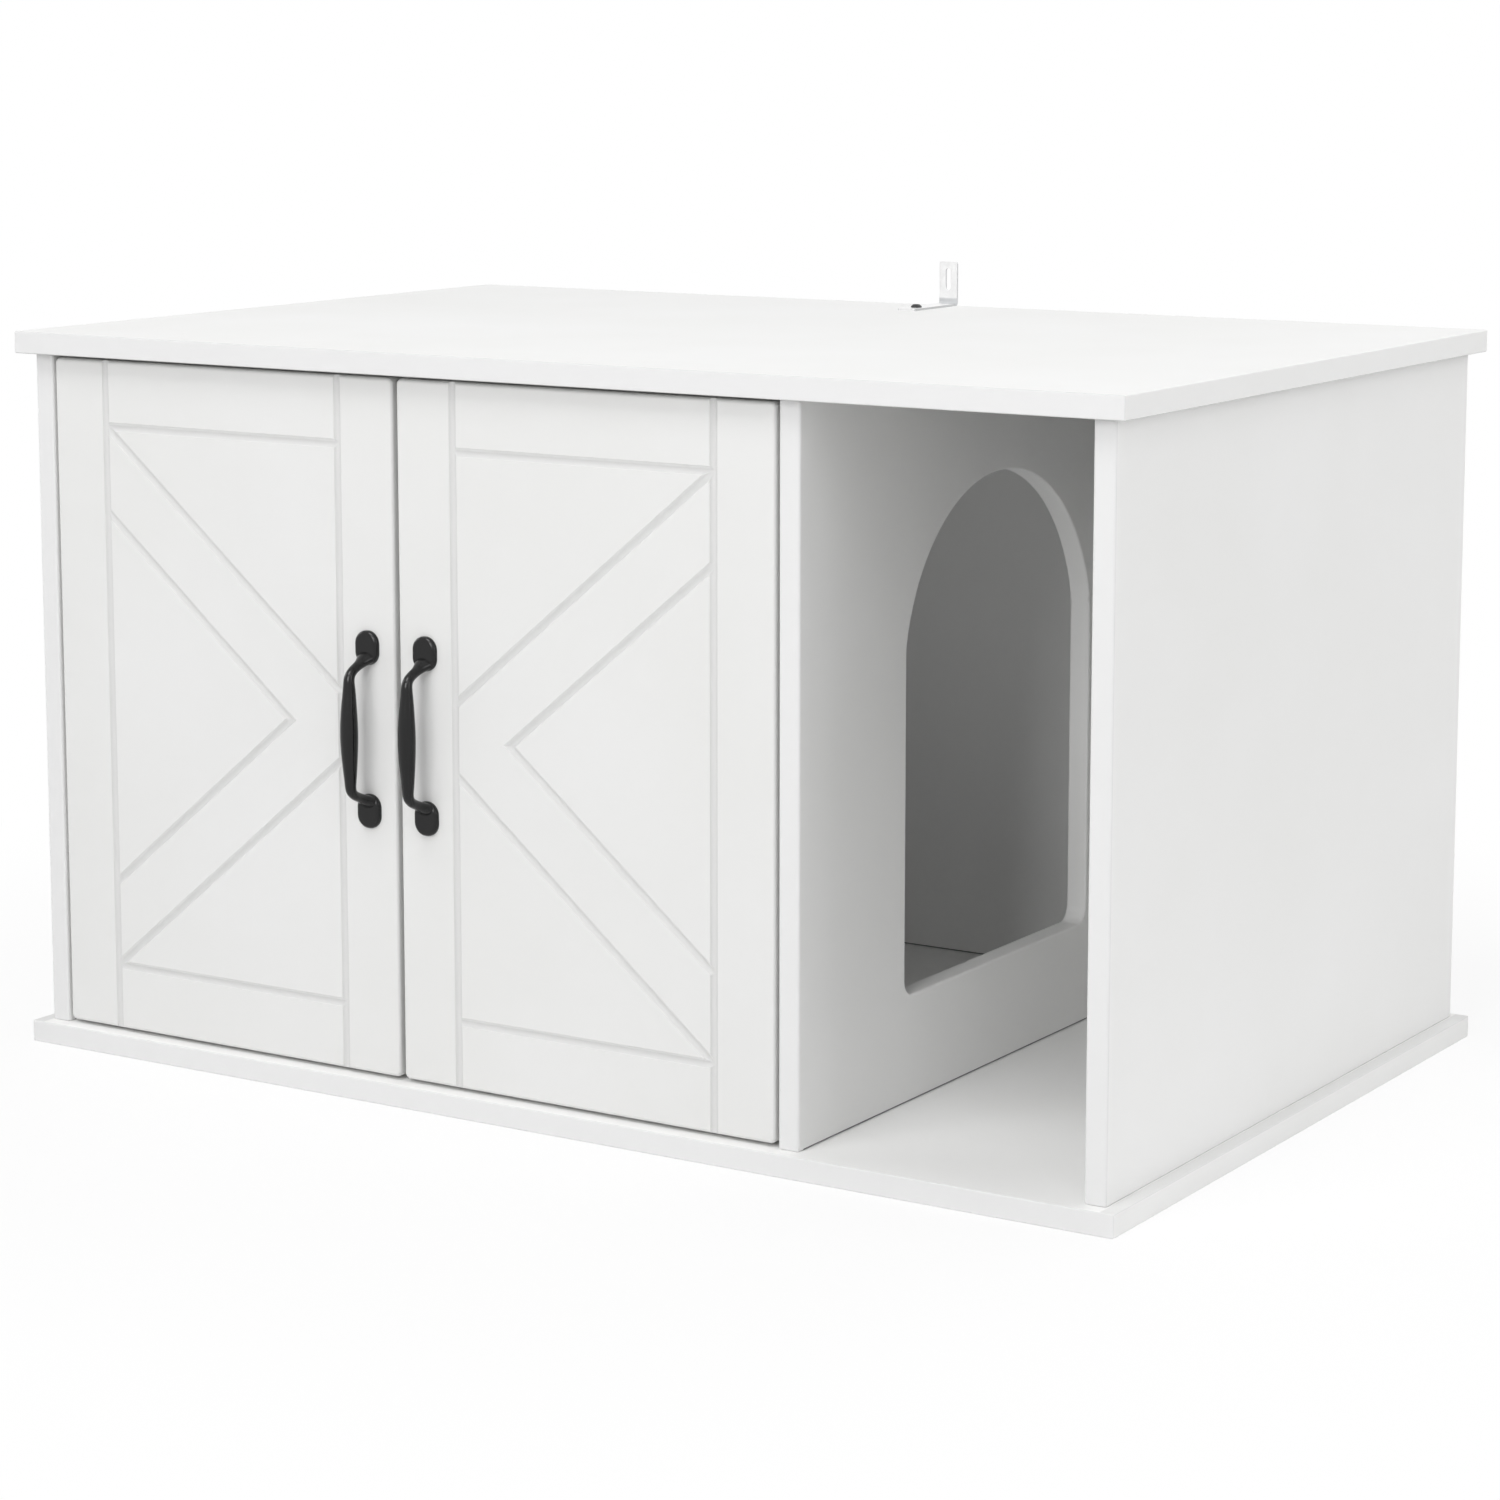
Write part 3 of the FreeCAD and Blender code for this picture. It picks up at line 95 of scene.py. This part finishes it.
# Linear tones of the finishes, dark and light
BOARD_TONES = ((0.89, 0.89, 0.88), (0.91, 0.91, 0.905))
DOOR_TONES = ((0.73, 0.73, 0.72), (0.75, 0.75, 0.745))
COAT_TONES = ((0.003, 0.003, 0.0031), (0.005, 0.005, 0.0051))
ZINC_TONES = ((0.78, 0.78, 0.78), (0.84, 0.84, 0.84))
NICKEL_TONES = ((0.62, 0.60, 0.56), (0.72, 0.70, 0.66))
BLACK_SCREW_TONES = ((0.012, 0.012, 0.013), (0.02, 0.02, 0.021))
PLASTIC_TONES = ((0.80, 0.80, 0.79), (0.84, 0.84, 0.83))
FERRITE_TONES = ((0.035, 0.035, 0.037), (0.075, 0.075, 0.078))
BEECH_TONES = ((0.46, 0.29, 0.15), (0.62, 0.43, 0.25))

# Middle roughness of the plated metals, and how far their drawn lines go below and above it
ZINC_ROUGHNESS = 0.38
NICKEL_ROUGHNESS = 0.26
LINES_SMOOTHER = 0.06
LINES_ROUGHER = 0.08

# Edging tape on the front edges: its tone, and the places along Y in metres over which it comes in and
# goes out
TAPE_TONE = (0.745, 0.745, 0.745)
TAPE_PLACES = (-0.290, -0.285, -0.250, -0.240)

# Painted shade under the top, a grey tone on its underside that passes less light into the case: its
# tone, and the heights in metres over which it comes in and goes out
UNDER_TOP_SHADE_TONE = (0.50, 0.50, 0.49)
UNDER_TOP_SHADE_HEIGHTS = (0.4840, 0.4845, 0.4852, 0.4855)

# Painted shade on the base's ledges beside the case: its tone, and the distances from the middle and
# the heights in metres over which it comes in and goes out
LEDGE_SHADE_TONE = (0.755, 0.755, 0.75)
LEDGE_DISTANCES = (0.4145, 0.4165, 0.4260, 0.4270)
LEDGE_HEIGHTS = (0.0130, 0.0140, 0.0160, 0.0170)

# Painted shade in the hairline joint at the foot of the boards that stand on the base, inside the case:
# its tone, and the places in metres over which it comes in and goes out
JOINT_SHADE_TONE = (0.22, 0.22, 0.22)
JOINT_SHADE_PLACES = {
    "X": (-0.403, -0.402, 0.402, 0.403),
    "Y": (-0.260, -0.258, 0.252, 0.253),
    "Z": (0.0150, 0.0152, 0.0160, 0.0163),
}

# Painted shade in the doors' grooves: its tone, the paler tone of painted light on the slopes that face
# the given way, and the depths behind a door's face in metres over which it comes in and goes out
GROOVE_SHADE_TONE = (0.66, 0.66, 0.655)
GROOVE_LIT_SLOPE_TONE = (0.76, 0.76, 0.755)
GROOVE_LIT_SLOPE_WAY = (-0.35, 0, -0.94)
GROOVE_DEPTHS = (0.0001, 0.0006, 0.0021, 0.0026)

# The wall bracket: the tones of its sheared sides and of the painted shade in its bend, and the places
# in metres over which the bend's painted shade comes in and goes out
SHEARED_TONE = (0.50, 0.505, 0.51)
BEND_SHADE_TONE = (0.54, 0.55, 0.56)
BEND_SHADE_PLACES = {
    "Y": (0.2700, 0.2725, 0.2760, 0.2770),
    "Z": (0.4990, 0.5000, 0.5045, 0.5065),
}


class Graph:
    """A material's node tree, with short calls for its common nodes."""

    def __init__(self, name):
        self.material = bpy.data.materials.new(name)
        self.material.use_nodes = True
        self.tree = self.material.node_tree
        self.shader = self.tree.nodes["Principled BSDF"]
        self.coordinates = self.add("ShaderNodeTexCoord")

    def add(self, kind, **settings):
        node = self.tree.nodes.new(kind)
        for key, setting in settings.items():
            setattr(node, key, setting)
        return node

    def link(self, source, target):
        self.tree.links.new(source, target)

    def set(self, **sockets):
        """Set constants on the shader, with _ for each space in a socket's name."""
        for key, setting in sockets.items():
            self.shader.inputs[key.replace("_", " ")].default_value = setting

    def place(self, stretch):
        """Object coordinates in metres, stretched along the axes."""
        mapping = self.add("ShaderNodeMapping")
        mapping.inputs["Scale"].default_value = stretch
        self.link(self.coordinates.outputs["Object"], mapping.inputs["Vector"])
        return mapping.outputs["Vector"]

    def noise(self, size, stretch=(1, 1, 1), detail=3):
        """Noise whose features are about the given size in metres."""
        node = self.add("ShaderNodeTexNoise")
        node.inputs["Scale"].default_value = 1 / size
        node.inputs["Detail"].default_value = detail
        self.link(self.place(stretch), node.inputs["Vector"])
        return node.outputs["Fac"]

    def ramp(self, value, start, end, low=0, high=1, interpolation="SMOOTHSTEP"):
        """A value that goes from low to high as another one goes from start to end."""
        node = self.add("ShaderNodeMapRange", interpolation_type=interpolation)
        node.inputs["From Min"].default_value = start
        node.inputs["From Max"].default_value = end
        node.inputs["To Min"].default_value = low
        node.inputs["To Max"].default_value = high
        self.link(value, node.inputs["Value"])
        return node.outputs["Result"]

    def between(self, noise, low, high):
        """A value that runs evenly from low to high over the span of a noise."""
        return self.ramp(noise, *NOISE_SPAN, low, high, interpolation="LINEAR")

    def facing(self, way):
        """A factor that is 1 on faces that look the given way in the object's axes."""
        dot = self.add("ShaderNodeVectorMath", operation="DOT_PRODUCT")
        self.link(self.coordinates.outputs["Normal"], dot.inputs[0])
        dot.inputs[1].default_value = way
        return self.ramp(dot.outputs["Value"], *FACING_SPAN)

    def layer(self, axis, start, full, fade, end):
        """A factor that is 1 where a coordinate lies from full to fade, and 0 outside start and end."""
        split = self.add("ShaderNodeSeparateXYZ")
        self.link(self.coordinates.outputs["Object"], split.inputs["Vector"])
        rise = self.ramp(split.outputs[axis], start, full)
        fall = self.ramp(split.outputs[axis], end, fade)
        return self.product(rise, fall)

    def zone(self, places):
        """A factor that is 1 inside a box, given by the places of its layer along each axis."""
        factor, *others = [self.layer(axis, *marks) for axis, marks in places.items()]
        for other in others:
            factor = self.product(factor, other)
        return factor

    def product(self, first, second):
        node = self.add("ShaderNodeMath", operation="MULTIPLY")
        self.link(first, node.inputs[0])
        self.link(second, node.inputs[1])
        return node.outputs["Value"]

    def blend(self, factor, first, second):
        """A colour that goes from the first to the second with the factor."""
        node = self.add("ShaderNodeMix", data_type="RGBA")
        self.link(factor, node.inputs["Factor"])
        for socket, colour in ((node.inputs["A"], first), (node.inputs["B"], second)):
            if isinstance(colour, tuple):
                socket.default_value = (*colour, 1)
            else:
                self.link(colour, socket)
        return node.outputs["Result"]

    def bump(self, height, depth, strength, below=None):
        """Relief of a height field, its full swing being the depth in metres."""
        node = self.add("ShaderNodeBump")
        node.inputs["Strength"].default_value = strength
        node.inputs["Distance"].default_value = depth
        self.link(height, node.inputs["Height"])
        if below is not None:
            self.link(below, node.inputs["Normal"])
        return node.outputs["Normal"]

    def finish(self, colour, roughness, normal):
        self.link(colour, self.shader.inputs["Base Color"])
        self.link(roughness, self.shader.inputs["Roughness"])
        self.link(normal, self.shader.inputs["Normal"])
        return self.material


def foil(graph, tones, stipple):
    """White foil: faint clouds, a pearl stipple of the given depth and an uneven satin gloss."""
    graph.set(Specular_IOR_Level=0.15)
    clouds = graph.between(graph.noise(size=0.16), low=0, high=1)
    colour = graph.blend(clouds, *tones)
    gloss = graph.between(graph.noise(size=0.05), low=0.52, high=0.62)
    waves = graph.bump(graph.noise(size=0.06), depth=0.00015, strength=0.25)
    pearl = graph.noise(size=0.0011, detail=2)
    normal = graph.bump(pearl, depth=stipple, strength=0.35, below=waves)
    return colour, gloss, normal


def foiled_board():
    """White foil on board: taped front edges, and painted shade under the top, on the ledges and in the
    joint.
    """
    graph = Graph("white_foil")
    colour, gloss, normal = foil(graph, BOARD_TONES, stipple=0.00004)
    taped = graph.product(graph.facing(FRONT), graph.layer("Y", *TAPE_PLACES))
    colour = graph.blend(taped, colour, TAPE_TONE)
    # Painted shade: a grey tone on the top's underside, which passes on less light into the case
    under_top_shade = graph.product(graph.facing(DOWN), graph.layer("Z", *UNDER_TOP_SHADE_HEIGHTS))
    colour = graph.blend(under_top_shade, colour, UNDER_TOP_SHADE_TONE)
    # Painted shade on the base's ledges beside the case
    ledge_shade_faces = graph.product(graph.facing(UP), graph.layer("Z", *LEDGE_HEIGHTS))
    for side in (-1, 1):
        ledge = graph.layer("X", *[side * distance for distance in LEDGE_DISTANCES])
        colour = graph.blend(graph.product(ledge_shade_faces, ledge), colour, LEDGE_SHADE_TONE)
    # Painted shade in the hairline joint at the foot of the boards inside the case
    colour = graph.blend(graph.zone(JOINT_SHADE_PLACES), colour, JOINT_SHADE_TONE)
    return graph.finish(colour, gloss, normal)


def grooved_foil():
    """White foil on the doors, with painted shade in the grooves and painted light on their slopes that
    face down.
    """
    graph = Graph("door_foil")
    colour, gloss, normal = foil(graph, DOOR_TONES, stipple=0.00003)
    face = min(corner[1] for corner in nodes["left_door"].bound_box)
    # Painted shade in the grooves, with painted light on the slopes that face down and a little to the
    # left
    groove = graph.layer("Y", *[face + depth for depth in GROOVE_DEPTHS])
    tone = graph.blend(graph.facing(GROOVE_LIT_SLOPE_WAY), GROOVE_SHADE_TONE, GROOVE_LIT_SLOPE_TONE)
    colour = graph.blend(groove, colour, tone)
    return graph.finish(colour, gloss, normal)


def black_coat():
    """Satin black powder coat with a fine orange peel."""
    graph = Graph("satin_black_coat")
    graph.set(Specular_IOR_Level=0.36)
    colour = graph.blend(graph.noise(size=0.012), *COAT_TONES)
    gloss = graph.between(graph.noise(size=0.004), low=0.15, high=0.22)
    peel = graph.noise(size=0.0016, detail=2)
    return graph.finish(colour, gloss, graph.bump(peel, depth=0.00003, strength=0.4))


def plating(graph, tones, roughness):
    """Plated sheet: fine drawn lines along its length over a faint spangle."""
    graph.set(Metallic=1.0)
    spangle = graph.between(graph.noise(size=0.004), low=0, high=1)
    colour = graph.blend(spangle, *tones)
    lines = graph.noise(size=0.0006, stretch=(1, 0.06, 0.06))
    gloss = graph.between(lines, roughness - LINES_SMOOTHER, roughness + LINES_ROUGHER)
    return colour, gloss, graph.bump(lines, depth=0.00002, strength=0.4)


def plated_steel(name, tones, roughness):
    graph = Graph(name)
    return graph.finish(*plating(graph, tones, roughness))


def bent_angle():
    """The wall bracket's plate: grey on its sheared sides, with painted shade where the sheet is bent.
    """
    graph = Graph("zinc_angle")
    colour, gloss, normal = plating(graph, ZINC_TONES, ZINC_ROUGHNESS)
    for way in (RIGHT, LEFT):
        colour = graph.blend(graph.facing(way), colour, SHEARED_TONE)
    # Painted shade in the bracket's bend
    colour = graph.blend(graph.zone(BEND_SHADE_PLACES), colour, BEND_SHADE_TONE)
    return graph.finish(colour, gloss, normal)


def moulded_plastic(name, tones):
    graph = Graph(name)
    colour = graph.blend(graph.noise(size=0.01), *tones)
    gloss = graph.between(graph.noise(size=0.003), low=0.45, high=0.58)
    grain = graph.noise(size=0.0007)
    return graph.finish(colour, gloss, graph.bump(grain, depth=0.00003, strength=0.5))


def ferrite():
    """Dark sintered magnet with a gritty face."""
    graph = Graph("ferrite")
    colour = graph.blend(graph.noise(size=0.002), *FERRITE_TONES)
    gloss = graph.between(graph.noise(size=0.001), low=0.55, high=0.75)
    grit = graph.noise(size=0.0005)
    return graph.finish(colour, gloss, graph.bump(grit, depth=0.00005, strength=0.5))


def beech():
    """Pale beech with its grain along Z."""
    graph = Graph("beech")
    grain = graph.noise(size=0.0012, stretch=(1, 1, 0.05), detail=5)
    colour = graph.blend(graph.between(grain, low=0, high=1), *BEECH_TONES)
    gloss = graph.between(grain, low=0.55, high=0.7)
    return graph.finish(colour, gloss, graph.bump(grain, depth=0.0001, strength=0.5))


def make_finishes():
    """One finish for each material slot of the record."""
    return {
        "white_board": foiled_board(),
        "white_door": grooved_foil(),
        "black_handle": black_coat(),
        "black_screw": moulded_plastic("black_phosphate", BLACK_SCREW_TONES),
        "zinc_steel": plated_steel("zinc_plate", ZINC_TONES, ZINC_ROUGHNESS),
        "hinge_steel": plated_steel("nickel_plate", NICKEL_TONES, NICKEL_ROUGHNESS),
        "white_plastic": moulded_plastic("white_plastic", PLASTIC_TONES),
        "magnet": ferrite(),
        "beech": beech(),
    }


def dress(finishes, special):
    """Give each node its special finish, or else the finish of its material slot."""
    for row in frame["record"]["subparts"]:
        mesh = nodes[row["node"]].data
        mesh.materials.clear()
        mesh.materials.append(special.get(row["node"], finishes[row["material_slot"]]))


def seen_white(tree):
    """A factor that is 1 for rays straight from the camera and for reflected and transmitted ones."""
    path = tree.nodes.new("ShaderNodeLightPath")
    total = path.outputs["Is Camera Ray"]
    for name in ("Is Glossy Ray", "Is Transmission Ray"):
        either = tree.nodes.new("ShaderNodeMath")
        either.operation = "MAXIMUM"
        tree.links.new(total, either.inputs[0])
        tree.links.new(path.outputs[name], either.inputs[1])
        total = either.outputs[0]
    return total


def show_mixed(tree, output, factor, first, second):
    """Show a surface that goes from the first shader to the second with the factor."""
    mix = tree.nodes.new("ShaderNodeMixShader")
    tree.links.new(factor, mix.inputs["Fac"])
    tree.links.new(first.outputs[0], mix.inputs[1])
    tree.links.new(second.outputs[0], mix.inputs[2])
    tree.links.new(mix.outputs[0], tree.nodes[output].inputs["Surface"])


def make_sky():
    """An even white sky: plain white to look at, dimmer as a light."""
    world = bpy.data.worlds.new("studio")
    world.use_nodes = True
    tree = world.node_tree
    light = tree.nodes["Background"]
    light.inputs["Color"].default_value = WHITE
    light.inputs["Strength"].default_value = SKY_STRENGTH
    white = tree.nodes.new("ShaderNodeBackground")
    white.inputs["Color"].default_value = WHITE
    show_mixed(tree, "World Output", seen_white(tree), light, white)
    bpy.context.scene.world = world


def floor_paint():
    """Pale paint that is plain white to look at, but for a faint shadow close to the object."""
    graph = Graph("pale_floor")
    graph.tree.nodes.remove(graph.shader)
    paint = graph.add("ShaderNodeBsdfDiffuse")
    paint.inputs["Color"].default_value = FLOOR_PAINT
    white = graph.add("ShaderNodeEmission")
    white.inputs["Color"].default_value = WHITE
    distance = graph.add("ShaderNodeVectorMath", operation="LENGTH")
    graph.link(graph.coordinates.outputs["Object"], distance.inputs[0])
    share = graph.ramp(distance.outputs["Value"], FLOOR_INNER, FLOOR_OUTER, low=FLOOR_WHITE_SHARE)
    factor = graph.product(seen_white(graph.tree), share)
    show_mixed(graph.tree, "Material Output", factor, paint, white)
    return graph.material


def make_floor():
    """A wide flat floor under the object."""
    mesh = bpy.data.meshes.new("floor")
    corners = [(-1, -1, 0), (1, -1, 0), (1, 1, 0), (-1, 1, 0)]
    mesh.from_pydata([Vector(corner) * FLOOR_HALF for corner in corners], [], [(0, 1, 2, 3)])
    mesh.materials.append(floor_paint())
    floor = bpy.data.objects.new("floor", mesh)
    bpy.context.scene.collection.objects.link(floor)
    floor.location.z = cad_box[0].z


def add_lamp(name, breadth, power, location, aim):
    """A square soft lamp that the camera doesn't see."""
    data = bpy.data.lights.new(name, "AREA")
    data.size = breadth
    data.energy = power
    lamp = bpy.data.objects.new(name, data)
    bpy.context.scene.collection.objects.link(lamp)
    lamp.location = location
    lamp.rotation_euler = (aim - location).to_track_quat("-Z", "Y").to_euler()
    lamp.visible_camera = False


def make_lamps():
    """Soft lamps around the object, all aimed at its middle, and the chamber's own."""
    middle = (cad_box[0] + cad_box[1]) / 2
    # A lamp of this power, in watts, shows a facing white surface at level 1
    full_power = (math.pi * LAMP_DISTANCE) ** 2
    for name, (azimuth, height, breadth, level) in LAMPS.items():
        turn = math.radians(azimuth)
        rise = math.radians(height)
        outward = Vector((math.sin(turn), -math.cos(turn), 0))
        away = outward * math.cos(rise) + Vector(UP) * math.sin(rise)
        add_lamp(name, breadth, level * full_power, middle + away * LAMP_DISTANCE, middle)
    add_lamp("chamber", CHAMBER_LAMP_BREADTH, CHAMBER_LAMP_POWER, CHAMBER_LAMP_PLACE, CHAMBER_LAMP_AIM)


def make_camera():
    """The photograph's camera, with the lens that its focal length in pixels gives."""
    data = bpy.data.cameras.new("camera")
    data.sensor_width = SENSOR_WIDTH_MM
    data.lens = FOCAL_PIXELS / FRAME_PIXELS * SENSOR_WIDTH_MM
    data.shift_y = CAMERA_SHIFT
    camera = bpy.data.objects.new("camera", data)
    bpy.context.scene.collection.objects.link(camera)
    camera.location = CAMERA_PLACE
    level = math.radians(90)
    camera.rotation_euler = (level - math.radians(CAMERA_TILT), 0, math.radians(CAMERA_TURN))
    bpy.context.scene.camera = camera


dress(make_finishes(), {"wall_bracket": bent_angle()})
make_sky()
make_floor()
make_lamps()
make_camera()
bpy.context.scene.view_settings.view_transform = "Standard"
